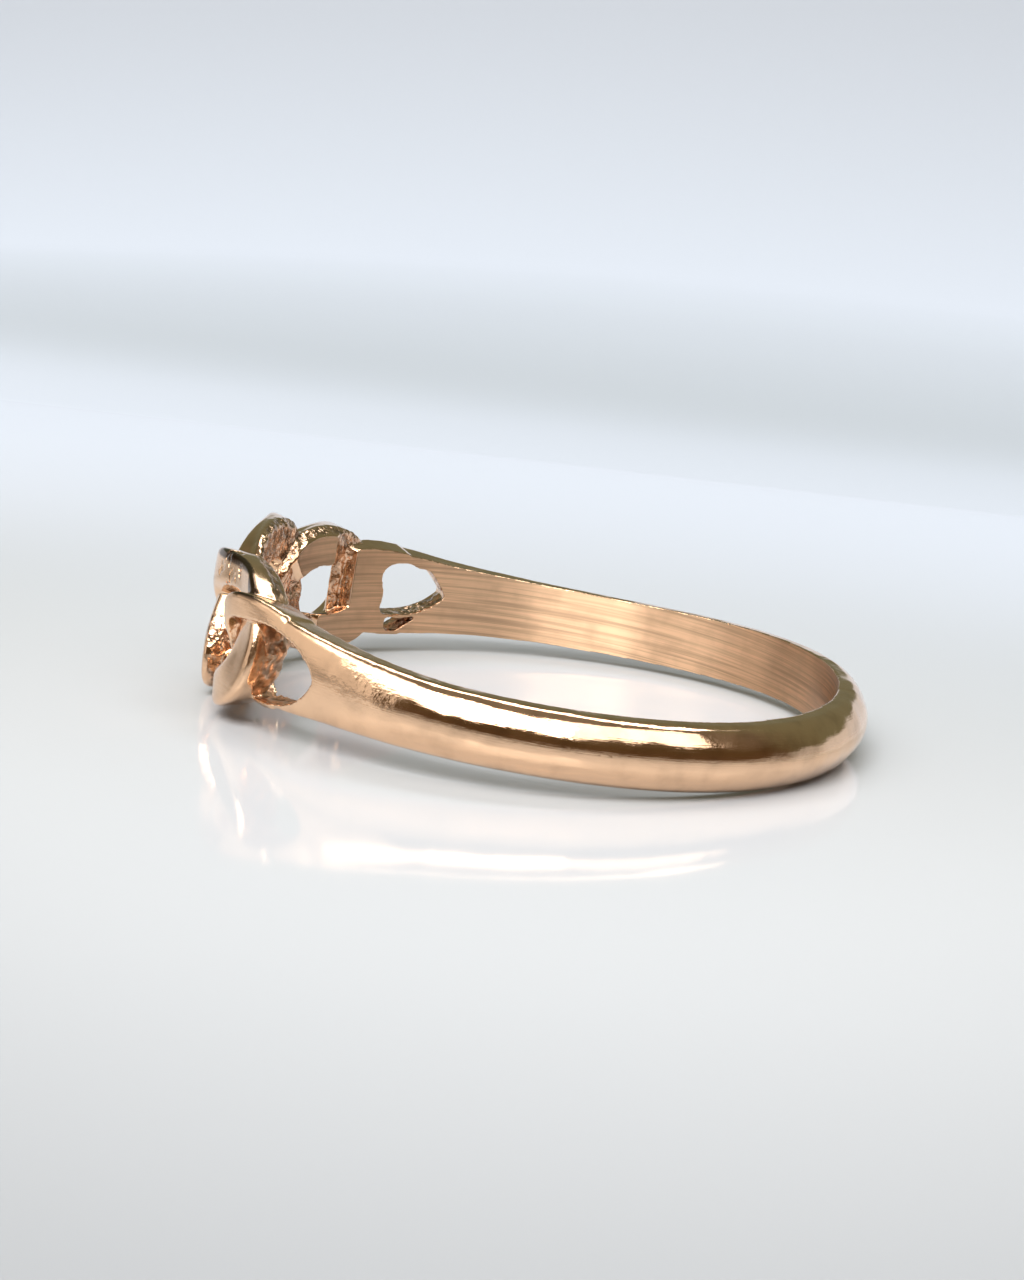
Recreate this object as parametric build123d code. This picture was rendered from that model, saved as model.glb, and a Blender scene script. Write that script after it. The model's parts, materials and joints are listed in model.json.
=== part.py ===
from build123d import *
import os
from math import atan, cos, degrees, pi, radians, sin

# Chain ring, one casting in gold: a narrow shank that opens into a shoulder loop at each
# side, and three curb links between the two loops. Everything is in millimetres.
# It is modelled on the axis of the bore, head towards -X, and laid on its side at the end.

# Finger hole
bore_diameter = 17.2

# Shank, at the back
shank_width = 1.9
shank_crown = 1.05
shank_edge = 0.5

# Shoulder, where the shank opens into a loop; rise is how far a loop sits above the middle
near_shoulder_width = 2.72
far_shoulder_width = 3.15
shoulder_crown = 1.3
shoulder_edge = 1.05
shoulder_flare = 0.18
near_rise = 0.14
far_rise = -0.05
near_loop_end = 3.0
far_loop_end = 2.8

# Out-of-flat wave of the worn ring: two swings around it, and three smaller ones
bow = 0.168
bow_turn = 11
skew = 0.078
skew_turn = 15

# Curb links of the head: pitch along the ring, outline and rail
link_pitch = 3.85
link_length = 5.85
link_height = 4.9
link_lift = 0.3
link_end_lift = 0.14
link_lean_length = 0.8
rail_width = 1.3
rail_depth = 1.3
rail_outer_round = 0.5
rail_hole_round = 0.3
rail_end_slope_width = 0.3
rail_hole_slope_width = 0.15
head_thickness = 1.4

# Hole through each shoulder loop, centred on the loop
hole_length = 3.5
hole_top = 1.0
hole_bottom = 1.1

bore_radius = bore_diameter / 2
rail_radius = bore_radius + head_thickness - rail_depth / 2
head_angle = 180


def arc_angle(length):
    """Angle in degrees that a length takes along the head's middle line."""
    return degrees(length / rail_radius)


def bow_height(angle):
    """How far the ring's middle plane leaves the flat at an angle from the back."""
    two_swings = bow * cos(radians(2 * angle - bow_turn))
    return two_swings + skew * sin(radians(3 * angle - skew_turn))


def ring_point(angle, radius, height):
    """A point of the ring from its angle, its distance from the axis and its height."""
    a = radians(angle)
    return Vector(radius * cos(a), radius * sin(a), height + bow_height(angle))


def radial(angle):
    """Unit vector away from the axis."""
    return Vector(cos(radians(angle)), sin(radians(angle)), 0)


def along(angle):
    """Unit vector along the ring, the way that the angle grows."""
    return Vector(-sin(radians(angle)), cos(radians(angle)), 0)


# Shank sections: place as a share of the way from the back to the loop's centre, and how
# far the width, edge, crown and rise have gone from the shank's (0) to the shoulder's (1)
SHANK_ROWS = [
    # place, width, edge, crown, rise
    (0.0, 0.02, 0.0, 0.0, 0.0),
    (0.23, 0.0, 0.0, 0.0, 0.0),
    (0.45, 0.0, 0.0, 0.0, 0.0),
    (0.64, 0.01, 0.05, 0.0, 0.0),
    (0.76, 0.08, 0.15, 0.0, 0.1),
    (0.86, 0.26, 0.40, 0.05, 0.6),
    (0.92, 0.44, 0.65, 0.2, 1.0),
    (0.98, 0.72, 0.90, 0.5, 1.0),
    (1.04, 1.0, 1.0, 0.9, 1.0),
]

# Closed end of a shoulder loop: place as a share of the way from the loop's centre to its
# end; width, edge and rise as shares of the shoulder's, twist as a share of the links' lift
LOOP_ROWS = [
    # place, width, edge, rise, twist
    (0.55, 1.03, 1.0, 0.5, 0.6),
    (0.78, 0.98, 1.0, 0.2, 1.5),
    (0.90, 0.86, 1.0, 0.0, 2.0),
    (1.0, 0.56, 0.8, 0.0, 2.0),
]

# Outline of a shoulder hole, as shares of its half length and of its height each way
HOLE_ROWS = [
    # along (towards the shank), height
    (1.0, -0.1),
    (0.84, 0.5),
    (0.45, 0.86),
    (-0.1, 1.0),
    (-0.65, 0.92),
    (-1.0, 0.4),
    (-1.0, -0.4),
    (-0.65, -0.92),
    (-0.1, -1.0),
    (0.45, -0.86),
    (0.84, -0.56),
]

# Links of the head: place in pitches from the middle, height as a share of the tallest,
# squareness of the outline (2 is an oval), and shares of the lean and the near loop's rise
LINK_ROWS = [
    # place, height, squareness, lean, rise
    (-1, 0.85, 2.7, 0.3, 0.0),
    (0, 1.0, 2.0, 1.0, 0.0),
    (1, 0.85, 2.4, 0.15, 0.3),
]


def band_section(angle, rise, width, flare, edge, crown, twist):
    """Crowned section, open towards the finger; twist lifts one edge and sinks the other."""
    half = width / 2
    foot = half - flare * (edge + shank_edge) / edge
    root = bore_radius - shank_edge
    high = bore_radius + edge + twist
    low = bore_radius + edge - twist
    plane = Plane(
        origin=(0, 0, bow_height(angle) + rise),
        x_dir=radial(angle),
        z_dir=-along(angle),
    )
    sides = Polyline((low, -half), (root, -foot), (root, foot), (high, half))
    top = ThreePointArc((high, half), (bore_radius + crown, 0), (low, -half))
    return plane * make_face([sides, top])


def band_sections(side, rise, width, loop_end):
    """Sections of one half of the band, from the back to the end of the loop."""
    loop_angle = head_angle - arc_angle(2 * link_pitch)
    sections = []
    for place, widening, edge, crown, lift in SHANK_ROWS:
        sections.append(
            band_section(
                -side * place * loop_angle,
                rise * lift,
                shank_width + (width - shank_width) * widening,
                shoulder_flare * widening,
                shank_edge + (shoulder_edge - shank_edge) * edge,
                shank_crown + (shoulder_crown - shank_crown) * crown,
                0,
            )
        )
    for place, share, edge, lift, twist in LOOP_ROWS:
        sections.append(
            band_section(
                -side * (loop_angle + place * arc_angle(loop_end)),
                rise * lift,
                width * share,
                shoulder_flare * share,
                shoulder_edge * edge,
                shoulder_crown * edge,
                side * twist * link_lift,
            )
        )
    return sections


def make_band():
    """The shank and both shoulder loops, without their holes."""
    near = band_sections(1, near_rise, near_shoulder_width, near_loop_end)
    far = band_sections(-1, far_rise, far_shoulder_width, far_loop_end)
    return loft(near[:0:-1] + far)


def rail_corner(deep, side, soft):
    """Rounded outer corner of a rail's section at a side, from the wall to the crest."""
    knee = soft * (1 - cos(pi / 4))
    turn = soft if side > 0 else -soft
    give = knee if side > 0 else -knee
    return ThreePointArc(
        (deep - soft, side), (deep - knee, side - give), (deep, side - turn)
    )


def rail_section(point, tangent, outward, end_share):
    """Section of a link's rail: flat inside, rounded outside, leaning in at link's ends."""
    half, deep = rail_width / 2, rail_depth / 2
    outer = half - rail_end_slope_width * end_share
    hole = rail_hole_slope_width - half
    sides = Polyline(
        (deep - rail_hole_round, hole),
        (-deep, -half),
        (-deep, half),
        (deep - rail_outer_round, outer),
    )
    crest = Line((deep, outer - rail_outer_round), (deep, hole + rail_hole_round))
    corners = [
        rail_corner(deep, outer, rail_outer_round),
        rail_corner(deep, hole, rail_hole_round),
    ]
    plane = Plane(origin=point, x_dir=outward, z_dir=tangent)
    return plane * make_face([sides, crest, *corners])


def link_middle(link, t):
    """Angle, radius and height of a link's middle line at t, from 0 to a full turn."""
    centre, height, squareness, lean, rise = link
    half_length = (link_length - rail_width) / 2
    half_height = (height - rail_width) / 2
    across = abs(cos(t) / half_length) ** squareness + abs(sin(t) / half_height) ** squareness
    reach = across ** (-1 / squareness)
    x, z = reach * cos(t), reach * sin(t)
    radius = rail_radius - link_lift * sin(2 * t) + link_end_lift * cos(t) ** 4
    return centre + arc_angle(x - lean * z / half_height), radius, z + rise


def half_link(link, first, count=11):
    """Half of a link's rail, lofted from t = first over half a turn."""
    step = pi / (count - 1)
    nearby = step / 20
    sections = []
    for i in range(count):
        t = first + step * i
        here = link_middle(link, t)
        ahead = ring_point(*link_middle(link, t + nearby))
        behind = ring_point(*link_middle(link, t - nearby))
        sections.append(
            rail_section(
                ring_point(*here),
                (ahead - behind).normalized(),
                radial(here[0]),
                cos(t) ** 2,
            )
        )
    return loft(sections)


def make_link(place, height, squareness, lean, rise):
    """One curb link: an oval rail whose upper left and lower right ends rise outwards."""
    link = (
        head_angle + arc_angle(place * link_pitch),
        height * link_height,
        squareness,
        lean * link_lean_length,
        rise * near_rise,
    )
    return half_link(link, pi / 4) + half_link(link, 5 * pi / 4)


def loop_hole(side, rise):
    """Cutter for the pointed hole of a shoulder loop; side is 1 near, -1 far."""
    angle = head_angle + side * arc_angle(2 * link_pitch)
    start = radial(angle) * (bore_radius - shank_crown)
    plane = Plane(
        origin=start + Vector(0, 0, bow_height(angle) + rise),
        x_dir=along(angle) * side,
        z_dir=radial(angle) * side,
    )
    outline = []
    for x, z in HOLE_ROWS:
        reach = hole_top if z > 0 else hole_bottom
        outline.append((x * hole_length / 2, side * z * reach))
    face = make_face(Spline(*outline, periodic=True))
    return extrude(plane * face, 2 * side * (shank_crown + head_thickness))


def lay_down(ring):
    """Lay the ring on its side, as it rests: on its head and on the back of the shank."""
    drop = (link_height - shank_width) / 2
    span = 2 * bore_radius + shank_crown + head_thickness
    ring = ring.rotate(Axis.Y, degrees(atan(drop / span)))
    box = ring.bounding_box()
    return Pos(-box.center().X, -box.center().Y, -box.min.Z) * ring


def make_ring():
    """The whole casting."""
    ring = make_band()
    ring -= loop_hole(1, near_rise)
    ring -= loop_hole(-1, far_rise)
    for row in LINK_ROWS:
        ring += make_link(*row)
    return ring - Cylinder(bore_radius, 2 * bore_diameter)


os.makedirs("parts", exist_ok=True)
export_step(lay_down(make_ring()), "parts/chain_ring.step")
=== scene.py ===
import json
import math

import bmesh
import bpy
import numpy as np
from mathutils import Matrix, Vector

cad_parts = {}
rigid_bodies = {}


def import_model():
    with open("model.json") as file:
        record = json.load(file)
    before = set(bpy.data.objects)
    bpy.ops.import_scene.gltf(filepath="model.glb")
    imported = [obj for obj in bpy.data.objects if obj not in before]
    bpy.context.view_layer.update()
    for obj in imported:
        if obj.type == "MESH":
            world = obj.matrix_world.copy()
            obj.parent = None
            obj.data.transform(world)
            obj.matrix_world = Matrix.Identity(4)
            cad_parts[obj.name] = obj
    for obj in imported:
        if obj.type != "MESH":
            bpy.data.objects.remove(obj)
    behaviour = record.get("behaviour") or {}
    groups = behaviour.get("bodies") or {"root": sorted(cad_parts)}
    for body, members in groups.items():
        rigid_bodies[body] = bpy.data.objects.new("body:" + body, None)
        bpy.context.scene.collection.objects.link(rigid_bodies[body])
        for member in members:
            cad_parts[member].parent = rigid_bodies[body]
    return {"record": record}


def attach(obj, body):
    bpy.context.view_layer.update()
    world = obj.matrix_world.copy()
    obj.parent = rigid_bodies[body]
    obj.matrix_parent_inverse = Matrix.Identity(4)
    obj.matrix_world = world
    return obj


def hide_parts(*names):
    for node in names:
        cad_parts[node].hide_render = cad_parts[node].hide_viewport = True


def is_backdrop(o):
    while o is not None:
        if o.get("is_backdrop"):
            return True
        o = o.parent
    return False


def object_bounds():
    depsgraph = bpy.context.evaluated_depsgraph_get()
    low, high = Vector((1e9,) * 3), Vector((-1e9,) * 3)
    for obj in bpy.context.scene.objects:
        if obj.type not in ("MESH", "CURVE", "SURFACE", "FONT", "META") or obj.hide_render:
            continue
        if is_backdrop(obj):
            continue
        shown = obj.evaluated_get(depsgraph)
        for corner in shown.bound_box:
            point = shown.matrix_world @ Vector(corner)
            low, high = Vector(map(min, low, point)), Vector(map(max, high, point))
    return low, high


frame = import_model()

bl_info = {
    "name": "Chain Ring",
    "version": (1, 0, 0),
    "blender": (4, 5, 0),
    "location": "3D View > Sidebar > Chain Ring",
    "description": "A finger ring cast in one piece, with curb links across the head",
    "category": "Add Mesh",
}

BORE = frame["record"]["mounts"][0]
BORE_RADIUS = BORE["dims"]["r_mm"]
MM = 0.001
PIECE_NAME = "ring_casting"
GOLD_NAME = "rose gold"

# How far inside the solid's box the casting stays, in m, and how many triangles it keeps
FIT = 1e-6
TRIANGLES = 190000

# Out-of-flat wave of the worn ring: two swings around it and three smaller ones, in mm and
# degrees
BOW = 0.168
BOW_TURN = 11
SKEW = 0.078
SKEW_TURN = 15

# Band rows: place is a share of the way from the back (0) to a loop's centre (1) and on to
# the loop's end (2); widths, edge and crown go from the shank's (0) to the shoulder's (1);
# rise is a share of the loop's rise; over and under are shares of the links' lift at the
# risen and the sunken edge; hollow and shift are how far the far loop's end stands off the
# bore and sits higher, in mm, and slant how far its outer face falls back, in degrees a mm
BAND_ROWS = [
    # place, near width, far width, edge, crown, rise, over, under, hollow, shift, slant
    (0.00, 0.02, 0.02, 0.00, 0.00, 0.0, 0.0, 0.0, 0.0, 0.0, 0.0),
    (0.23, 0.00, 0.00, 0.00, 0.00, 0.0, 0.0, 0.0, 0.0, 0.0, 0.0),
    (0.45, 0.00, 0.00, 0.00, 0.00, 0.0, 0.0, 0.0, 0.0, 0.0, 0.0),
    (0.64, 0.01, 0.01, 0.05, 0.00, 0.0, 0.0, 0.0, 0.0, 0.0, 0.0),
    (0.76, 0.08, 0.08, 0.15, 0.00, 0.1, 0.0, 0.0, 0.0, 0.0, 0.0),
    (0.86, 0.26, 0.26, 0.40, 0.05, 0.6, 0.0, 0.0, 0.0, 0.0, 0.0),
    (0.92, 0.44, 0.44, 0.65, 0.20, 1.0, 0.0, 0.0, 0.0, 0.0, 0.0),
    (0.98, 0.72, 0.72, 0.90, 0.50, 1.0, 0.0, 0.0, 0.0, 0.0, 0.0),
    (1.04, 1.00, 0.90, 1.00, 0.90, 1.0, 0.0, 0.0, 0.0, 0.0, 0.0),
    (1.25, 1.28, 1.00, 1.00, 1.00, 0.9, 0.4, 0.3, 0.0, 0.0, 0.0),
    (1.50, 1.46, 1.00, 1.00, 1.00, 0.8, 1.2, 0.6, 0.0, 0.0, 2.1),
    (1.65, 1.46, 0.91, 1.00, 1.05, 0.5, 1.7, 0.8, 0.0, 0.0, 3.5),
    (1.73, 1.40, 0.70, 1.00, 1.10, 0.3, 1.9, 0.9, 0.3, 0.1, 4.2),
    (1.80, 1.26, 0.55, 1.00, 1.10, 0.1, 2.0, 0.9, 0.8, 0.2, 4.8),
    (1.87, 1.05, 0.50, 1.00, 1.15, 0.0, 2.0, 0.9, 0.8, 0.2, 5.4),
    (1.93, 0.60, 0.45, 1.00, 1.15, 0.0, 1.9, 0.9, 0.8, 0.2, 6.0),
    (2.00, -0.50, 0.20, 0.95, 1.05, 0.0, 1.6, 0.9, 0.9, 0.2, 6.5),
]

# Curb links between the loops. Place is in pitches from the middle link, height a share of
# the links' height, squareness 2 an oval, rise a share of the near loop's rise, and turn the
# phase of the lift's two swings along the rail, in degrees. In mm are lean (at the rail's
# middle), twist (more lean outside than inside), edge and hollow (how far the upper inner edge
# and the upper inner face stand off the bore), and flare and end flare (how far the rail's
# outer side slopes, at its middle and at the link's ends)
LINK_ROWS = [
    # place, height, squareness, lean, twist, rise, edge, hollow, turn, flare, end flare
    (-1, 0.83, 2.4, 0.12, 0.5, 0.0, 0.32, 0.0, 40, 0.00, -0.20),
    (0, 0.998, 2.8, 0.60, 0.8, 0.0, 0.50, 0.36, 40, 0.00, -0.20),
    (1, 0.84, 2.2, 0.05, 0.2, 0.4, 0.45, 0.0, 20, 0.05, 0.10),
]
# Squareness of the rails' section, and how far a rail's hole side slopes, in mm, at its
# middle and at the link's ends
RAIL_SQUARENESS = 6.0
HOLE_SLOPE = 0.40
END_HOLE_SLOPE = 0.15

# Outlines of the holes through the shoulder loops, in mm from the loop's centre, at the
# bore; how much wider they get per mm outwards, where their cutters have sections, in mm
# outside the bore, and how many points of the cutter there are for one of the outline
HOLE_GROWTH = 0.08
HOLE_SECTIONS = (-1.2, 0, 1.0, 3)
HOLE_FINENESS = 8
NEAR_HOLE_ROWS = [
    # along (towards the shank), height
    (1.40, -0.05),
    (1.15, 0.31),
    (0.58, 0.63),
    (0.07, 0.76),
    (-0.49, 0.86),
    (-1.36, 0.77),
    (-2.15, 0.55),
    (-2.40, 0.00),
    (-2.35, -0.72),
    (-1.85, -1.27),
    (-0.86, -1.22),
    (0.12, -1.04),
    (0.75, -0.80),
    (1.18, -0.45),
]
FAR_HOLE_ROWS = [
    # along (towards the shank), height
    (1.52, 0.06),
    (1.18, 0.50),
    (0.80, 0.83),
    (0.38, 0.90),
    (-0.15, 1.05),
    (-0.85, 0.96),
    (-1.12, 0.62),
    (-0.98, 0.00),
    (-1.00, -0.55),
    (-0.45, -0.69),
    (0.38, -0.62),
    (0.95, -0.44),
    (1.35, -0.18),
]
FAR_SLOT_ROWS = [
    # along (towards the shank), height
    (0.48, -0.74),
    (-0.10, -0.80),
    (-0.70, -0.80),
    (-0.72, -1.15),
    (-0.30, -1.22),
    (0.10, -1.02),
]


# Sizes that a user may change

def size(name, text, value):
    """A length of the ring, given in millimetres and kept in metres."""
    return bpy.props.FloatProperty(
        name=name, description=text, default=value * MM,
        subtype="DISTANCE", unit="LENGTH", precision=5)


class RingSizes(bpy.types.PropertyGroup):
    """Sizes of the band."""
    shank_width: size("Shank width", "Width of the shank", 1.9)
    shank_crown: size("Shank crown", "Wall at the middle of the shank", 1.05)
    shank_edge: size("Shank edge", "Wall at the edges of the shank", 0.50)
    shoulder_crown: size("Shoulder crown", "Wall at the middle of a shoulder", 1.30)
    shoulder_edge: size("Shoulder edge", "Wall at the edges of a shoulder", 1.05)
    near_width: size("Near shoulder width", "Width of the near shoulder", 2.72)
    far_width: size("Far shoulder width", "Width of the far shoulder", 3.15)
    near_rise: size("Near rise", "How far the near loop sits above the middle", 0.14)
    far_rise: size("Far rise", "How far the far loop sits above the middle", -0.05)
    near_end: size("Near loop end", "From the near loop's centre to its end", 2.95)
    far_end: size("Far loop end", "From the far loop's centre to its end", 3.35)
    flare: size("Shoulder flare", "How much narrower a shoulder is at the bore", 0.18)
    voxel: size("Grain of the mesh", "Edge length of the mesh before it is thinned", 0.05)


class LinkSizes(bpy.types.PropertyGroup):
    """Sizes of the curb links."""
    pitch: size("Pitch", "From link to link along the head", 3.85)
    length: size("Length", "Length of a link along the head", 5.85)
    height: size("Height", "Height of the middle link", 4.9)
    rail_width: size("Rail width", "Width of a link's rail", 1.3)
    rail_depth: size("Rail depth", "Depth of a link's rail", 1.3)
    lift: size("Lift", "How far a link's ends rise and sink as it twists", 0.32)
    thickness: size("Head thickness", "From the bore to the rails' outer faces", 1.38)


def tint(name, text, value):
    """A colour of the ring or of its stage."""
    return bpy.props.FloatVectorProperty(
        name=name, description=text, default=value, subtype="COLOR", size=3, min=0, max=1)


class RingColours(bpy.types.PropertyGroup):
    """Colours of the gold and of the stage."""
    gold: tint("Gold", "Colour of the polished gold", (0.80, 0.53, 0.335))
    cast: tint("Cast gold", "Colour of the gold left as cast inside the links", (0.76, 0.49, 0.32))
    floor: tint("Floor", "Colour of the floor", (0.455, 0.472, 0.497))


# Frame of the ring: bore axis upright, head towards -X, millimetres

def laid_matrix():
    """From the ring's own frame in millimetres to the row frame in metres."""
    axis = Vector(BORE["axis"]).normalized()
    turn = Vector((0, 0, 1)).rotation_difference(axis).to_matrix().to_4x4()
    return Matrix.Translation(BORE["pos_m"]) @ turn @ Matrix.Scale(MM, 4)


def bow_height(angle):
    """How far the worn ring's middle plane leaves the flat, at an angle in degrees."""
    a = np.radians(angle)
    two_swings = BOW * np.cos(2 * a - math.radians(BOW_TURN))
    return two_swings + SKEW * np.sin(3 * a - math.radians(SKEW_TURN))


class Millimetres:
    """Reads the lengths of a property group in millimetres, to a tenth of a micrometre."""

    def __init__(self, group):
        self.group = group

    def __getattr__(self, name):
        return round(getattr(self.group, name) / MM, 4)


def link_sizes():
    """The links' sizes."""
    return Millimetres(bpy.context.scene.link_sizes)


def ring_sizes():
    """The band's sizes."""
    return Millimetres(bpy.context.scene.ring_sizes)


def rail_radius():
    """Radius of the rails' middle line."""
    s = link_sizes()
    return BORE_RADIUS + s.thickness - s.rail_depth / 2


def arc_angle(length):
    """Angle in degrees that a length takes along the head."""
    return math.degrees(length / rail_radius())


def new_object(name, verts, faces):
    """A mesh object from points and faces."""
    mesh = bpy.data.meshes.new(name)
    mesh.from_pydata([tuple(v) for v in verts], [], faces)
    mesh.update()
    obj = bpy.data.objects.new(name, mesh)
    bpy.context.scene.collection.objects.link(obj)
    return obj


def tube_faces(rings, around):
    """Faces of a tube of sections with its two ends closed."""
    faces = []
    for i in range(rings - 1):
        for j in range(around):
            k = (j + 1) % around
            faces.append((i * around + j, i * around + k, (i + 1) * around + k, (i + 1) * around + j))
    faces.append(tuple(reversed(range(around))))
    faces.append(tuple((rings - 1) * around + j for j in range(around)))
    return faces


# Band: the shank and both shoulders

# Sections in half the band and points across its outer face; how deep its inner side goes
# into the bore, to be cut away, how round its edges are, and how far out its far end's face
# starts to fall back, in mm; how many sections a corner of the rows is rounded over
BAND_SECTIONS = 400
BAND_POINTS = 41
BAND_ROOT = 0.4
BAND_ROUND = 0.16
SLANT_START = 0.3
EASE_SECTIONS = 13


def eased(column):
    """A column of the band's rows with its corners rounded off."""
    kernel = np.hanning(EASE_SECTIONS)
    kernel /= kernel.sum()
    pad = len(kernel) // 2
    padded = np.concatenate([column[pad:0:-1], column, np.repeat(column[-1], pad)])
    return np.convolve(padded, kernel, mode="valid")


def band_half(side):
    """Sections of one half of the band, side 1 near and -1 far."""
    s = ring_sizes()
    loop_angle = 180 - arc_angle(2 * link_sizes().pitch)
    width, rise = (s.near_width, s.near_rise) if side > 0 else (s.far_width, s.far_rise)
    end = arc_angle(s.near_end if side > 0 else s.far_end)
    rows = np.array(BAND_ROWS)
    steps = np.linspace(0, 2, BAND_SECTIONS)
    width_column = 1 if side > 0 else 2
    w, e, c, r, over, under, hollow, shift, slant = [
        eased(np.interp(steps, rows[:, 0], rows[:, k])) for k in (width_column, *range(3, 11))
    ]
    if side > 0:
        hollow, shift, slant = 0 * hollow, 0 * shift, 0 * slant
    angle = np.where(steps < 1, steps * loop_angle, loop_angle + (steps - 1) * end)
    lift = link_sizes().lift
    return np.stack([
        -side * angle,
        s.shank_width + (width - s.shank_width) * w,
        s.flare * w,
        s.shank_edge + (s.shoulder_edge - s.shank_edge) * e,
        s.shank_crown + (s.shoulder_crown - s.shank_crown) * c,
        rise * r + shift,
        lift * (over if side > 0 else -under),
        lift * (-under if side > 0 else over),
        hollow,
        slant,
    ], axis=1)


def band_section(row):
    """Points of the band's section in (distance from the axis, height)."""
    angle, width, flare, edge, crown, rise, top, bottom, hollow = row[:9]
    half = width / 2
    s = np.sin(np.linspace(-1, 1, BAND_POINTS) * math.pi / 2)
    height = s * half
    tilt = np.where(s > 0, top, -bottom) * s
    wall = edge + tilt + (crown - edge) * (1 - s * s)
    over = np.clip((np.abs(height) - (half - BAND_ROUND)) / BAND_ROUND, 0, 1)
    wall = wall - BAND_ROUND * (1 - np.sqrt(1 - over * over))
    root = BORE_RADIUS - BAND_ROOT + hollow
    foot = half - flare * (edge + BAND_ROOT) / edge
    radius = np.concatenate([[root, root], BORE_RADIUS + wall])
    heights = np.concatenate([[foot, -foot], height])
    return radius, heights + rise + bow_height(angle)


def make_band():
    """The band as one closed tube, from the near loop's end round to the far one's."""
    rows = np.concatenate([band_half(1)[:0:-1], band_half(-1)])
    verts = []
    for row in rows:
        radius, heights = band_section(row)
        a = np.radians(row[0] - row[9] * np.maximum(0, radius - BORE_RADIUS - SLANT_START))
        verts.append(np.stack([radius * np.cos(a), radius * np.sin(a), heights], axis=1))
    count = len(verts[0])
    return new_object("band", np.concatenate(verts), tube_faces(len(verts), count))


def smooth_loop(points, count):
    """A closed smooth curve through points."""
    p = np.array(points)
    n = len(p)
    out = []
    for t in np.linspace(0, n, count, endpoint=False):
        i = int(t)
        f = t - i
        a, b, c, d = p[(i - 1) % n], p[i % n], p[(i + 1) % n], p[(i + 2) % n]
        out.append(0.5 * (2 * b + (c - a) * f + (2 * a - 5 * b + 4 * c - d) * f * f
                          + (3 * b - a - 3 * c + d) * f ** 3))
    return np.array(out)


def make_hole(rows, side):
    """Cutter for a hole through the near (1) or the far (-1) shoulder."""
    s = ring_sizes()
    centre = 180 + side * arc_angle(2 * link_sizes().pitch)
    rise = s.near_rise if side > 0 else s.far_rise
    line = smooth_loop(rows, HOLE_FINENESS * len(rows))
    verts = []
    for outside in HOLE_SECTIONS:
        radius = BORE_RADIUS + outside
        grow = 1.0 + HOLE_GROWTH * max(-1, outside)
        for x, z in line:
            angle = centre + side * math.degrees(x * grow / rail_radius())
            a = math.radians(angle)
            verts.append((radius * math.cos(a), radius * math.sin(a),
                          z * grow + rise + bow_height(centre)))
    return outward(new_object("hole", verts, tube_faces(len(HOLE_SECTIONS), len(line))))


def outward(obj):
    """Turn a closed mesh's faces outwards."""
    work = bmesh.new()
    work.from_mesh(obj.data)
    bmesh.ops.recalc_face_normals(work, faces=work.faces)
    work.to_mesh(obj.data)
    work.free()
    return obj


# Short ways to build node trees

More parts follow.
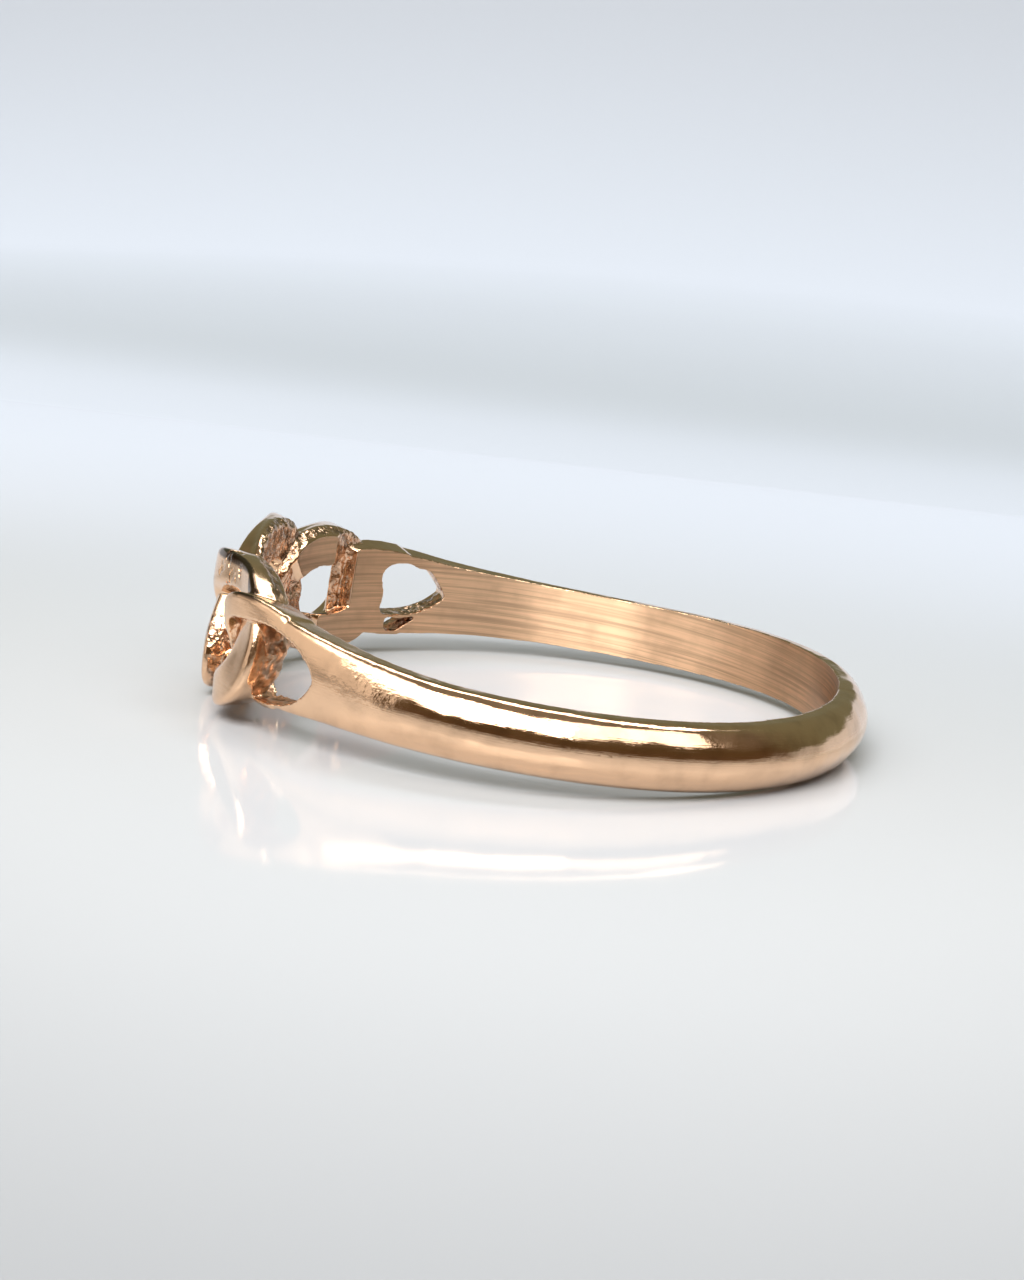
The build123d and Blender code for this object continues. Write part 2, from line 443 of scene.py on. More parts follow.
class Graph:
    """A node tree with short ways to add its nodes."""

    def __init__(self, group):
        self.group = group

    def node(self, kind, fed=None, **settings):
        """A node with its settings, fed with a value or socket for each input named."""
        node = self.group.nodes.new(kind)
        for key, value in settings.items():
            setattr(node, key, value)
        for key, value in (fed or {}).items():
            self.plug(value, node.inputs[key])
        return node

    def plug(self, value, socket):
        """A value or another socket into a socket."""
        if isinstance(value, bpy.types.NodeSocket):
            self.group.links.new(value, socket)
        else:
            socket.default_value = value

    def calc(self, operation, *values):
        """A calculation on one to three values."""
        return self.node("ShaderNodeMath", dict(enumerate(values)), operation=operation).outputs[0]

    def add(self, a, b):
        return self.calc("ADD", a, b)

    def sub(self, a, b):
        return self.calc("SUBTRACT", a, b)

    def mul(self, a, b):
        return self.calc("MULTIPLY", a, b)

    def div(self, a, b):
        return self.calc("DIVIDE", a, b)

    def power(self, a, b):
        """The size of a to the power b."""
        return self.calc("POWER", self.calc("ABSOLUTE", a), b)

    def signed(self, a, b):
        """The size of a to the power b, with a's sign."""
        return self.mul(self.power(a, b), self.calc("SIGN", a))

    def between(self, low, high, amount):
        """A number that goes from low to high as the amount goes from 0 to 1."""
        return self.add(self.mul(low, self.sub(1.0, amount)), self.mul(high, amount))

    def vector(self, operation, a, b=None):
        """A calculation on one or two vectors, or on a vector and a number."""
        node = self.node("ShaderNodeVectorMath", {0: a}, operation=operation)
        if b is not None:
            self.plug(b, node.inputs["Scale" if operation == "SCALE" else 1])
        gives_number = operation in ("DOT_PRODUCT", "LENGTH", "DISTANCE")
        return node.outputs["Value" if gives_number else "Vector"]

    def parts(self, vector):
        """The three parts of a vector."""
        return self.node("ShaderNodeSeparateXYZ", {0: vector}).outputs

    def joined(self, *values):
        """A vector from its parts."""
        return self.node("ShaderNodeCombineXYZ", dict(enumerate(values))).outputs[0]

    def noise(self, place, scale, detail=2.0):
        """Noise about 0, with scale in lumps a unit."""
        node = self.node("ShaderNodeTexNoise", {"Vector": place, "Scale": scale, "Detail": detail})
        return self.sub(node.outputs["Fac"], 0.5)

    def ramp(self, value, low, high):
        """0 below low and 1 above high, eased between."""
        fed = {"Value": value, "From Min": low, "From Max": high, "To Min": 0, "To Max": 1}
        return self.node("ShaderNodeMapRange", fed, interpolation_type="SMOOTHSTEP").outputs[0]

    def stretch(self, place, factors):
        """A place stretched by a factor along each axis."""
        return self.vector("MULTIPLY", place, factors)

    def turned(self, vector, rotation):
        """A direction of the ring's own frame, in the row frame and of length 1."""
        fed = {"Rotation": rotation.to_euler(), "Vector": vector}
        node = self.node("ShaderNodeMapping", fed, vector_type="VECTOR")
        return self.vector("NORMALIZE", node.outputs[0])

    def distance(self, place, point):
        """How far a place is from a point."""
        return self.vector("DISTANCE", place, point)

    def blend(self, share, first, second):
        """A colour between two."""
        return self.node("ShaderNodeMix", {0: share, 6: first, 7: second}, data_type="RGBA").outputs[2]


class Tree(Graph):
    """A geometry node group with named inputs."""

    def __init__(self, name):
        super().__init__(bpy.data.node_groups.new(name, "GeometryNodeTree"))
        self.group.is_modifier = True
        self.ids = {}
        self.source = None

    def inputs(self, names, takes_mesh=False):
        """Named float inputs with their values, after the mesh where it takes one."""
        sockets = self.group.interface
        if takes_mesh:
            sockets.new_socket("Geometry", in_out="INPUT", socket_type="NodeSocketGeometry")
        for name, value in names.items():
            socket = sockets.new_socket(name, in_out="INPUT", socket_type="NodeSocketFloat")
            socket.default_value = value
            self.ids[name] = socket.identifier
        sockets.new_socket("Geometry", in_out="OUTPUT", socket_type="NodeSocketGeometry")
        self.source = self.group.nodes.new("NodeGroupInput")

    def get(self, name):
        """The input of that name."""
        return self.source.outputs[name]

    def keep(self, geometry, name, value, kind="FLOAT", domain="POINT"):
        """Geometry with a value kept on it under a name."""
        fed = {0: geometry, "Name": name, "Value": value}
        node = self.node("GeometryNodeStoreNamedAttribute", fed, data_type=kind, domain=domain)
        return node.outputs[0]

    def kept(self, name, kind="FLOAT"):
        """The value that the geometry keeps under a name."""
        return self.node("GeometryNodeInputNamedAttribute", {"Name": name}, data_type=kind).outputs[0]

    def choose(self, index, values):
        """One of some values by an index."""
        node = self.node("GeometryNodeIndexSwitch", data_type="FLOAT")
        while len(node.index_switch_items) < len(values):
            node.index_switch_items.new()
        self.plug(index, node.inputs[0])
        for value, socket in zip(values, node.inputs[1:]):
            self.plug(value, socket)
        return node.outputs[0]

    def real(self, geometry):
        """Geometry with its copies made real."""
        return self.node("GeometryNodeRealizeInstances", {0: geometry}).outputs[0]

    def placed(self, geometry, socket, value):
        """Geometry moved to a position or by an offset, as the socket's name says."""
        fed = {"Geometry": geometry, socket: value}
        return self.node("GeometryNodeSetPosition", fed).outputs[0]

    def finish(self, geometry):
        """End the group with real geometry in gold."""
        fed = {0: self.real(geometry), "Material": bpy.data.materials[GOLD_NAME]}
        self.node("NodeGroupOutput", {0: self.node("GeometryNodeSetMaterial", fed).outputs[0]})

    def modify(self, obj, values):
        """Add the group to an object as a modifier, with values for its inputs."""
        mod = obj.modifiers.new(self.group.name, "NODES")
        mod.node_group = self.group
        for name, value in values.items():
            mod[self.ids[name]] = value


# Curb links by geometry nodes

# Steps along a link's rail and around it, and where around it the sheet's two sides meet
RAIL_STEPS = 161
RAIL_POINTS = 49
RAIL_SEAM = 0.57
# How close the points at the seams are before they are joined, in mm
WELD = 0.0004
# How far into the bore a rail's inner side goes, to be cut away, how little its upper part
# does, and how much the rail's least radius grows from its inner side to its outer, in mm
RAIL_ROOT = 0.2
UPPER_ROOT = 0.01
FLOOR_GROWTH = 0.4


def link_inputs():
    """Values of the links' inputs, in mm."""
    s = link_sizes()
    return {
        "Bore radius": BORE_RADIUS,
        "Pitch": s.pitch,
        "Length": s.length,
        "Height": s.height,
        "Rail width": s.rail_width,
        "Rail depth": s.rail_depth,
        "Rail squareness": RAIL_SQUARENESS,
        "Lift": s.lift,
        "Head thickness": s.thickness,
        "Near rise": ring_sizes().near_rise,
        "Hole slope": HOLE_SLOPE,
        "End hole slope": END_HOLE_SLOPE,
    }


def link_sheets(t):
    """One sheet of points a link, which keep their angles along its rail and around it."""
    grid = t.node("GeometryNodeMeshGrid", {"Vertices X": RAIL_STEPS, "Vertices Y": RAIL_POINTS})
    x, y, _ = t.parts(t.node("GeometryNodeInputPosition").outputs[0])
    sheet = t.keep(grid.outputs[0], "turn", t.mul(t.add(x, 0.5), math.tau))
    sheet = t.keep(sheet, "section", t.mul(t.add(y, RAIL_SEAM), math.tau))
    line = t.node("GeometryNodeMeshLine", {"Count": len(LINK_ROWS)})
    fed = {"Points": line.outputs[0], "Instance": sheet}
    copies = t.node("GeometryNodeInstanceOnPoints", fed)
    index = t.node("GeometryNodeInputIndex").outputs[0]
    return t.real(t.keep(copies.outputs[0], "link", index, "INT", "INSTANCE"))


def link_outline(t, tall, square, turn):
    """Point of a link's middle line, the direction out of the link, and half its height."""
    half_length = t.mul(t.sub(t.get("Length"), t.get("Rail width")), 0.5)
    half_height = t.mul(t.sub(t.mul(t.get("Height"), tall), t.get("Rail width")), 0.5)
    cos_t, sin_t = t.calc("COSINE", turn), t.calc("SINE", turn)
    along = t.power(t.div(cos_t, half_length), square)
    upward = t.power(t.div(sin_t, half_height), square)
    reach = t.power(t.add(along, upward), t.div(-1.0, square))
    x, z = t.mul(reach, cos_t), t.mul(reach, sin_t)
    grow = t.sub(square, 1.0)
    nx = t.div(t.signed(t.div(x, half_length), grow), half_length)
    nz = t.div(t.signed(t.div(z, half_height), grow), half_height)
    size_n = t.calc("SQRT", t.add(t.mul(nx, nx), t.mul(nz, nz)))
    return x, z, t.div(nx, size_n), t.div(nz, size_n), half_height


def rail_side(t, across, share, end, flare, end_flare):
    """How far a point of the rail's section is out from its middle, in the link's outline."""
    out_slope = t.between(flare, end_flare, end)
    hole_slope = t.between(t.get("Hole slope"), t.get("End hole slope"), end)
    slope = t.between(hole_slope, out_slope, t.add(t.mul(across, 0.5), 0.5))
    return t.add(t.mul(across, t.mul(t.get("Rail width"), 0.5)), t.mul(share, slope))


def rail_floor(t, across, share, turn, edge, hollow):
    """Least radius of a point of the rail, which shapes its upper inner edge and face."""
    upper = t.ramp(t.calc("SINE", turn), -0.3, 0.3)
    slope_in = t.mul(t.ramp(across, 0.3, 1.0), t.add(edge, RAIL_ROOT))
    high = t.calc("MAXIMUM", t.sub(slope_in, RAIL_ROOT), t.sub(hollow, UPPER_ROOT))
    floor = t.between(-RAIL_ROOT, high, upper)
    return t.add(t.add(t.get("Bore radius"), floor), t.mul(share, FLOOR_GROWTH))


def ring_wave(t, angle):
    """The worn ring's wave, as bow_height gives it, for an angle in radians."""
    two_swings = t.calc("COSINE", t.sub(t.mul(angle, 2.0), math.radians(BOW_TURN)))
    three_swings = t.calc("SINE", t.sub(t.mul(angle, 3.0), math.radians(SKEW_TURN)))
    return t.add(t.mul(BOW, two_swings), t.mul(SKEW, three_swings))


def link_tree():
    """Node group that lays the curb links around the head."""
    t = Tree("Curb links")
    t.inputs(link_inputs())
    sheets = link_sheets(t)
    which = t.kept("link", "INT")
    turn, section = t.kept("turn"), t.kept("section")
    step, tall, square, lean, twist, rising, edge, hollow, lift_turn, flare, end_flare = [
        t.choose(which, column) for column in zip(*LINK_ROWS)
    ]
    x, z, nx, nz, half_height = link_outline(t, tall, square, turn)

    flat = t.div(2.0, t.get("Rail squareness"))
    half_depth = t.mul(t.get("Rail depth"), 0.5)
    across = t.signed(t.calc("COSINE", section), flat)
    deep = t.mul(t.signed(t.calc("SINE", section), flat), half_depth)
    share = t.add(t.div(deep, t.get("Rail depth")), 0.5)
    cos_t = t.calc("COSINE", turn)
    side = rail_side(t, across, share, t.mul(cos_t, cos_t), flare, end_flare)
    z = t.add(z, t.mul(nz, side))
    lean = t.add(lean, t.mul(twist, t.sub(share, 0.5)))
    x = t.sub(t.add(x, t.mul(nx, side)), t.div(t.mul(lean, z), half_height))

    middle = t.sub(t.add(t.get("Bore radius"), t.get("Head thickness")), half_depth)
    phase = t.sub(t.mul(turn, 2.0), t.mul(lift_turn, math.pi / 180))
    radius = t.sub(t.add(middle, deep), t.mul(t.get("Lift"), t.calc("SINE", phase)))
    radius = t.calc("MAXIMUM", radius, rail_floor(t, across, share, turn, edge, hollow))
    angle = t.add(math.pi, t.div(t.add(x, t.mul(step, t.get("Pitch"))), middle))
    height = t.add(t.add(z, t.mul(t.get("Near rise"), rising)), ring_wave(t, angle))
    x, y = t.mul(radius, t.calc("COSINE", angle)), t.mul(radius, t.calc("SINE", angle))
    rails = t.placed(sheets, "Position", t.joined(x, y, height))
    t.finish(t.node("GeometryNodeMergeByDistance", {0: rails, "Distance": WELD}).outputs[0])
    return t


def make_links():
    """The curb links, worked out by geometry nodes and kept as a plain mesh."""
    obj = new_object("curb_links", [], [])
    link_tree().modify(obj, link_inputs())
    bake(obj)
    return outward(obj)


# Joining and smoothing

# Rounds of smoothing, and its two steps, which even points out and then undo the shrinking
RELAX_ROUNDS = 8
RELAX_STEPS = (0.5, -0.52)
# Points this close to the bore, in mm, and facing it this squarely belong to its wall
WALL_DEPTH = 0.02
WALL_FACING = -0.9


def combine(obj, other, operation):
    """Join or cut obj with another closed mesh, which is removed."""
    mod = obj.modifiers.new("join", "BOOLEAN")
    mod.operation = operation
    mod.solver = "MANIFOLD"
    mod.object = other
    bake(obj)
    bpy.data.objects.remove(other)


def bake(obj):
    """Apply an object's modifiers to its mesh."""
    graph = bpy.context.evaluated_depsgraph_get()
    mesh = bpy.data.meshes.new_from_object(obj.evaluated_get(graph), depsgraph=graph)
    if not mesh.polygons:
        raise RuntimeError(f"{obj.name} came out empty")
    old = obj.data
    obj.modifiers.clear()
    obj.data = mesh
    bpy.data.meshes.remove(old)


def remesh(obj, voxel):
    """Give obj an even mesh of small faces."""
    mod = obj.modifiers.new("remesh", "REMESH")
    mod.mode = "VOXEL"
    mod.voxel_size = voxel
    bake(obj)


def points_of(mesh, name="co"):
    """The places of a mesh's points, or their normals, as an array."""
    values = np.empty(len(mesh.vertices) * 3)
    mesh.vertices.foreach_get(name, values)
    return values.reshape(-1, 3)


def move_points(mesh, co):
    """Put a mesh's points at new places."""
    mesh.vertices.foreach_set("co", co.ravel())
    mesh.update()


def relax(mesh):
    """Even out a mesh's points without making it thinner."""
    co = points_of(mesh)
    edges = np.empty(len(mesh.edges) * 2, dtype=np.int64)
    mesh.edges.foreach_get("vertices", edges)
    first, second = edges[0::2], edges[1::2]
    degree = np.bincount(edges, minlength=len(co)).astype(float)[:, None]
    for share in RELAX_STEPS * RELAX_ROUNDS:
        total = np.zeros_like(co)
        for axis in range(3):
            total[:, axis] = (
                np.bincount(first, co[second, axis], minlength=len(co))
                + np.bincount(second, co[first, axis], minlength=len(co))
            )
        co = co + share * (total / degree - co)
    move_points(mesh, co)


def true_bore(mesh):
    """Bring the points of the finger hole's wall onto its radius and leave its rims round."""
    co = points_of(mesh)
    normal = points_of(mesh, "normal")
    r = np.hypot(co[:, 0], co[:, 1])
    facing = (co[:, 0] * normal[:, 0] + co[:, 1] * normal[:, 1]) / r
    wall = (r < BORE_RADIUS) | ((r < BORE_RADIUS + WALL_DEPTH) & (facing < WALL_FACING))
    co[wall, :2] *= (BORE_RADIUS / r[wall])[:, None]
    move_points(mesh, co)


def thin_out(obj, triangles):
    """Merge small faces until about that many triangles are left."""
    obj.data.calc_loop_triangles()
    mod = obj.modifiers.new("thin", "DECIMATE")
    mod.ratio = min(1.0, triangles / len(obj.data.loop_triangles))
    bake(obj)


# Rough gold inside the links and holes

# Gold is as cast where it is above the bore and in the head, and either faces another wall
# within reach and not outwards, or faces the bore from some way off. Lengths are in mm,
# facing is a cosine, and the edge of the cast gold is blurred in rounds
CAST_REACH = 2.3
CAST_OUTWARD = 0.55
CAST_INWARD = -0.35
CAST_OFF_BORE = 0.12
CAST_ABOVE_BORE = 0.03
CAST_HEAD_X = -3.4
CAST_BLUR = 3

# Values of the cast finish's inputs, in mm
CAST_INPUTS = {
    "Reach": CAST_REACH,
    "Lump size": 0.42,
    "Lump height": 0.20,
    "Grain size": 0.13,
    "Grain height": 0.03,
}


def cast_share(t, place, normal):
    """1 on walls left as cast and 0 elsewhere."""
    away = t.stretch(place, (1, 1, 0))
    radius = t.vector("LENGTH", away)
    facing = t.vector("DOT_PRODUCT", t.vector("NORMALIZE", away), normal)
    ray = t.node("GeometryNodeRaycast", {
        "Target Geometry": t.get("Geometry"),
        "Source Position": t.vector("ADD", place, t.vector("SCALE", normal, CAST_ABOVE_BORE)),
        "Ray Direction": normal,
        "Ray Length": t.get("Reach"),
    })
    walled = t.mul(ray.outputs["Is Hit"], t.calc("LESS_THAN", facing, CAST_OUTWARD))
    hollow = t.mul(t.calc("LESS_THAN", facing, CAST_INWARD),
                   t.calc("GREATER_THAN", radius, BORE_RADIUS + CAST_OFF_BORE))
    head = t.calc("LESS_THAN", t.parts(place)[0], CAST_HEAD_X)
    above_bore = t.calc("GREATER_THAN", radius, BORE_RADIUS + CAST_ABOVE_BORE)
    return t.mul(t.mul(t.calc("MAXIMUM", walled, hollow), head), above_bore)


def cast_lumps(t, place):
    """Height of the lumps and the grain of the cast walls."""
    lumps = t.noise(place, t.div(1.0, t.get("Lump size")), 1.0)
    grain = t.noise(place, t.div(1.0, t.get("Grain size")), 0.0)
    return t.add(t.mul(lumps, t.get("Lump height")), t.mul(grain, t.get("Grain height")))


def cast_tree():
    """Node group that finds the gold left as cast and makes it lumpy."""
    t = Tree("Cast finish")
    t.inputs(CAST_INPUTS, takes_mesh=True)
    place = t.node("GeometryNodeInputPosition").outputs[0]
    normal = t.node("GeometryNodeInputNormal").outputs[0]
    fed = {"Value": cast_share(t, place, normal), "Iterations": CAST_BLUR}
    blur = t.node("GeometryNodeBlurAttribute", fed, data_type="FLOAT")
    marked = t.keep(t.get("Geometry"), "cast", blur.outputs[0])
    amount = t.mul(cast_lumps(t, place), t.kept("cast"))
    t.finish(t.placed(marked, "Offset", t.vector("SCALE", normal, amount)))
    return t


def cast_finish(obj):
    """Mark the gold left as cast and make it lumpy."""
    cast_tree().modify(obj, CAST_INPUTS)
    bake(obj)


# The whole ring

BORE_SIDES = 720


def make_bore():
    """Cutter for the finger hole."""
    verts = []
    for z in (-BORE_RADIUS, BORE_RADIUS):
        for i in range(BORE_SIDES):
            a = math.tau * i / BORE_SIDES
            verts.append((BORE_RADIUS * math.cos(a), BORE_RADIUS * math.sin(a), z))
    return outward(new_object("bore", verts, tube_faces(2, BORE_SIDES)))


def make_casting(box):
    """The whole ring as one closed mesh, kept inside the box of the solid it stands for."""
    ring = outward(make_band())
    combine(ring, make_hole(NEAR_HOLE_ROWS, 1), "DIFFERENCE")
    combine(ring, make_hole(FAR_HOLE_ROWS, -1), "DIFFERENCE")
    combine(ring, make_hole(FAR_SLOT_ROWS, -1), "DIFFERENCE")
    combine(ring, make_links(), "UNION")
    combine(ring, make_bore(), "DIFFERENCE")
    remesh(ring, ring_sizes().voxel)
    relax(ring.data)
    true_bore(ring.data)
    cast_finish(ring)
    thin_out(ring, TRIANGLES)
    ring.data.transform(laid_matrix())
    low, high = [np.array(corner) for corner in box]
    ring.data.polygons.foreach_set("use_smooth", [True] * len(ring.data.polygons))
    move_points(ring.data, np.clip(points_of(ring.data), low + FIT, high - FIT))
    ring.name = PIECE_NAME
    ring.data.name = PIECE_NAME
    return ring


# Finishes

# Each patch has its middle and its reach, in mm: how far from its middle it ends, and within
# how much it is full. Small dents in the outer face of the link next to the near loop
DENTS_PLACE = (-9.2, -3.7, 1.7)
DENTS_REACH = (0.80, 0.45)
# Rough stripe where the middle link meets the link next to the near loop, squeezed along
# each axis
STRIPE_PLACE = (-9.6, -3.0, -0.3)
STRIPE_SQUEEZE = (1.0, 0.6, 0.28)
STRIPE_REACH = (0.27, 0.17)
# Worn patch on the near shoulder
WORN_PLACE = (-3.9, -9.0, 0.4)
WORN_REACH = (1.6, 0.5)
# How far outside the bore's radius the brushed gold ends, and within how much it is full
BRUSHED_REACH = (0.03, 0.01)
# Heights of the surface, in mm: brush lines in the bore, then waves, wear and scratches of
# the polished faces, then grain of the cast walls and of the worn patch, and the dents
BRUSH_HEIGHT = 0.004
FINE_HEIGHT = 0.001
WAVE_HEIGHT = 0.08
WEAR_HEIGHT = 0.015
SCRATCH_HEIGHT = 0.0022
GRAIN_HEIGHT = 0.08
WORN_HEIGHT = 0.022
DENT_HEIGHT = 0.10
# Roughness of the polished gold, and what the patches, the near shoulder, the bore and the
# cast walls add to it
POLISH = 0.09
PATCHY = 0.11
MATTE = 0.10
BRUSHED = 0.32
CAST = 0.12
# Colour of the tarnish, of the lines in the bore and of the painted shade in the cast hollows,
# as shares of the gold's, and of the band of painted shade over the link next to the near
# loop, with how much of it shows
TARNISH_SHADE = 0.80
LINE_SHADE = 0.58
PAINTED_HOLLOW_SHADE = 0.42
CREASE_SHADE_COLOUR = (0.06, 0.035, 0.02, 1)
CREASE_SHADE_SHARE = 0.92
# Height of the painted shade's lower edge, and how much lower it is beside the near loop, in mm
CREASE_SHADE_LEVEL = 1.88
CREASE_SHADE_DROP = 0.42


def shade(colour, share=1.0):
    """A colour made darker, for a colour socket."""
    return (*[share * c for c in colour], 1)


def ring_place(g, where, rotation):
    """Place on the ring in its own frame, in mm."""
    place = g.node("ShaderNodeTexCoord").outputs["Object"]
    fed = {"Vector": place, "Location": where, "Rotation": rotation.to_euler(), "Scale": (MM, MM, MM)}
    return g.node("ShaderNodeMapping", fed, vector_type="TEXTURE").outputs[0]


def gold_shares(g, place):
    """Shares of the brushed bore, the rough cast walls and the polished faces."""
    x, y, _ = g.parts(place)
    radius = g.calc("SQRT", g.add(g.mul(x, x), g.mul(y, y)))
    cast = g.node("ShaderNodeAttribute", attribute_name="cast").outputs["Fac"]
    middle = [a * b for a, b in zip(STRIPE_PLACE, STRIPE_SQUEEZE)]
    stripe = g.ramp(g.distance(g.stretch(place, STRIPE_SQUEEZE), middle), *STRIPE_REACH)
    bore = g.ramp(radius, *[BORE_RADIUS + reach for reach in BRUSHED_REACH])
    rough = g.mul(g.calc("MAXIMUM", cast, stripe), g.sub(1.0, bore))
    return bore, rough, g.mul(g.sub(1.0, rough), g.sub(1.0, bore))


def gold_noises(g, place):
    """Coarse and fine brush lines, the grain of cast gold and large patches."""
    streaks = g.noise(g.stretch(place, (0.16, 0.16, 8.0)), 1.0, 4.0)
    fine = g.noise(g.stretch(place, (0.3, 0.3, 30)), 1.0, 2.0)
    grain = g.add(g.noise(place, 3.2, 2.0), g.mul(0.30, g.noise(place, 9.0, 2.0)))
    return streaks, fine, grain, g.noise(place, 1.3, 3.0)


def gold_height(g, place, shares, noises):
    """Height of the gold's surface in mm."""
    bore, rough, polished = shares
    streaks, fine, grain, _ = noises
    scratches = g.noise(g.stretch(place, (0.7, 0.7, 30)), 1.0, 4.0)
    waves = g.noise(place, 0.55, 1.0)
    wear = g.noise(g.stretch(place, (1.0, 1.0, 1.9)), 1.1, 4.0)
    worn = g.mul(g.ramp(g.distance(place, WORN_PLACE), *WORN_REACH), polished)
    marks = g.ramp(g.noise(g.stretch(place, (2.8, 2.8, 1.7)), 1.0, 1.0), 0.03, 0.10)
    dents = g.mul(g.ramp(g.distance(place, DENTS_PLACE), *DENTS_REACH), marks)
    height = g.mul(bore, g.add(g.mul(BRUSH_HEIGHT, streaks), g.mul(FINE_HEIGHT, fine)))
    swell = g.add(g.mul(WAVE_HEIGHT, waves), g.mul(WEAR_HEIGHT, wear))
    swell = g.add(swell, g.mul(SCRATCH_HEIGHT, scratches))
    height = g.add(height, g.mul(polished, swell))
    height = g.add(height, g.mul(rough, g.mul(GRAIN_HEIGHT, grain)))
    height = g.add(height, g.mul(worn, g.mul(WORN_HEIGHT, grain)))
    return g.sub(height, g.mul(DENT_HEIGHT, dents))


def painted_crease_shade(g, place, facing):
    """Share of the painted shade, a dark band over the end face of the link next to the near loop."""
    x, y, z = g.parts(place)
    level = g.sub(CREASE_SHADE_LEVEL, g.mul(CREASE_SHADE_DROP, g.ramp(y, -4.8, -5.3)))
    crease_shade = g.mul(g.ramp(facing, 0.12, 0.34), g.ramp(g.sub(z, level), 0.0, 0.12))
    return g.mul(crease_shade, g.mul(g.ramp(x, -7.4, -7.8), g.ramp(y, -2.4, -3.0)))


def gold_colour(g, shares, noises, crease_shade):
    """Colour of the gold, darker in its lines and patches, with painted shade in hollows and a band.
    """
    colours = bpy.context.scene.ring_colours
    bore, rough, _ = shares
    streaks, fine, grain, patchy = noises
    gold = g.blend(
        g.ramp(patchy, -0.3, 0.1), shade(colours.gold, TARNISH_SHADE), shade(colours.gold))
    lines = g.mul(bore, g.ramp(g.add(streaks, g.mul(0.45, fine)), 0.20, -0.25))
    gold = g.blend(lines, gold, shade(colours.gold, LINE_SHADE))
    # Painted shade: a near-black band over the upper end face of the link next to the near loop
    gold = g.blend(g.mul(CREASE_SHADE_SHARE, crease_shade), gold, CREASE_SHADE_COLOUR)
    # Painted shade in the cast gold, darker where its grain sinks into the hollows of its bumps
    cast = g.blend(
        g.ramp(grain, -0.16, 0.12), shade(colours.cast, PAINTED_HOLLOW_SHADE), shade(colours.cast))
    return g.blend(rough, gold, cast)


def gold_roughness(g, place, shares, patchy):
    """Roughness of the gold, more on the near shoulder, in the bore and where cast."""
    bore, rough, _ = shares
    x, y, _ = g.parts(place)
    matte = g.mul(g.ramp(x, -1.5, -4.5), g.ramp(g.mul(-1.0, y), 3.0, 5.5))
    total = g.add(POLISH, g.mul(PATCHY, patchy))
    for share, more in ((matte, MATTE), (bore, BRUSHED), (rough, CAST)):
        total = g.add(total, g.mul(share, more))
    return total


def gold_bump(g, height, normal, away, bore):
    """Normal of the gold with its bumps, which start from a round wall in the bore."""
    fed = {0: bore, 4: normal, 5: g.vector("SCALE", away, -1.0)}
    flush = g.node("ShaderNodeMix", fed, data_type="VECTOR").outputs[1]
    fed = {"Strength": 1, "Distance": MM, "Height": height, "Normal": flush}
    return g.node("ShaderNodeBump", fed).outputs[0]


def gold_brushing(g, shader, place, rotation, bore):
    """Stretch the bore's highlights across the brush lines that run around it."""
    x, y, _ = g.parts(place)
    around = g.joined(g.mul(-1.0, y), x)
    g.plug(g.turned(around, rotation), shader["Tangent"])
    g.plug(g.mul(bore, 0.95), shader["Anisotropic"])
    shader["Anisotropic Rotation"].default_value = 0.25


def new_material(name):
    """A material, its graph and its shader's inputs."""
    material = bpy.data.materials.new(name)
    material.use_nodes = True
    g = Graph(material.node_tree)
    return material, g, g.group.nodes["Principled BSDF"].inputs


def gold_material():
    """Rose gold: polished outside, brushed in the finger hole, rough where left as cast."""
    material, g, shader = new_material(GOLD_NAME)
    where, rotation, _ = laid_matrix().decompose()
    place = ring_place(g, where, rotation)
    shares = gold_shares(g, place)
    noises = gold_noises(g, place)
    normal = g.node("ShaderNodeNewGeometry").outputs["Normal"]
    away = g.turned(g.stretch(place, (1.0, 1.0, 0.0)), rotation)
    height = gold_height(g, place, shares, noises)
    crease_shade = painted_crease_shade(g, place, g.vector("DOT_PRODUCT", normal, away))
    shader["Metallic"].default_value = 1
    g.plug(gold_bump(g, height, normal, away, shares[0]), shader["Normal"])
    g.plug(gold_colour(g, shares, noises, crease_shade), shader["Base Color"])
    g.plug(gold_roughness(g, place, shares, noises[3]), shader["Roughness"])
    gold_brushing(g, shader, place, rotation, shares[0])
    return material


def floor_material():
    """Pale table top, glossy near the ring and dull far from it, with painted shade that darkens it
    away from the ring.
    """
    material, g, shader = new_material("pale table")
    place = g.node("ShaderNodeTexCoord").outputs["Object"]
    _, y, _ = g.parts(place)
    away = g.distance(g.stretch(place, (1.0, 1.0, 0.5)), (0, 0, 0))
    pale = bpy.context.scene.ring_colours.floor
    blue = [a * b for a, b in zip(FLOOR_TINT, pale)]
    near = g.blend(g.ramp(y, -0.01, 0.06), shade(pale), shade(blue))
    # Painted shade: the floor darkens away from the ring, soonest in front of it, as light falls off
    front = g.mul(g.ramp(away, 0.016, 0.050), g.ramp(y, 0.03, -0.02))
    far = g.add(front, g.mul(FLOOR_FAR_PAINTED_SHADE, g.ramp(away, 0.03, 0.34)))
    g.plug(g.blend(far, near, shade(pale, FLOOR_PAINTED_SHADE)), shader["Base Color"])
    shader["Roughness"].default_value = 0.07
    g.plug(g.mul(FLOOR_GLOSS, g.ramp(away, 0.15, 0.012)), shader["Specular IOR Level"])
    return material


# Stage, in metres

# Half the width of the floor; where it starts in front and ends behind the ring, radius of
# the backdrop's bend, its top and the steps in its bend
STAGE_HALF_WIDTH = 0.8
FLOOR_FRONT = -0.35
FLOOR_BACK = 0.06
BACKDROP_BEND = 0.60
BACKDROP_TOP = 0.9
BACKDROP_STEPS = 64
# Tint of the floor behind the ring, the share of its colour that is left where its painted shade
# is darkest, how near to that it comes far away, and its gloss
FLOOR_TINT = (0.94, 0.99, 1.06)
FLOOR_PAINTED_SHADE = 0.56
FLOOR_FAR_PAINTED_SHADE = 0.56
FLOOR_GLOSS = 0.26


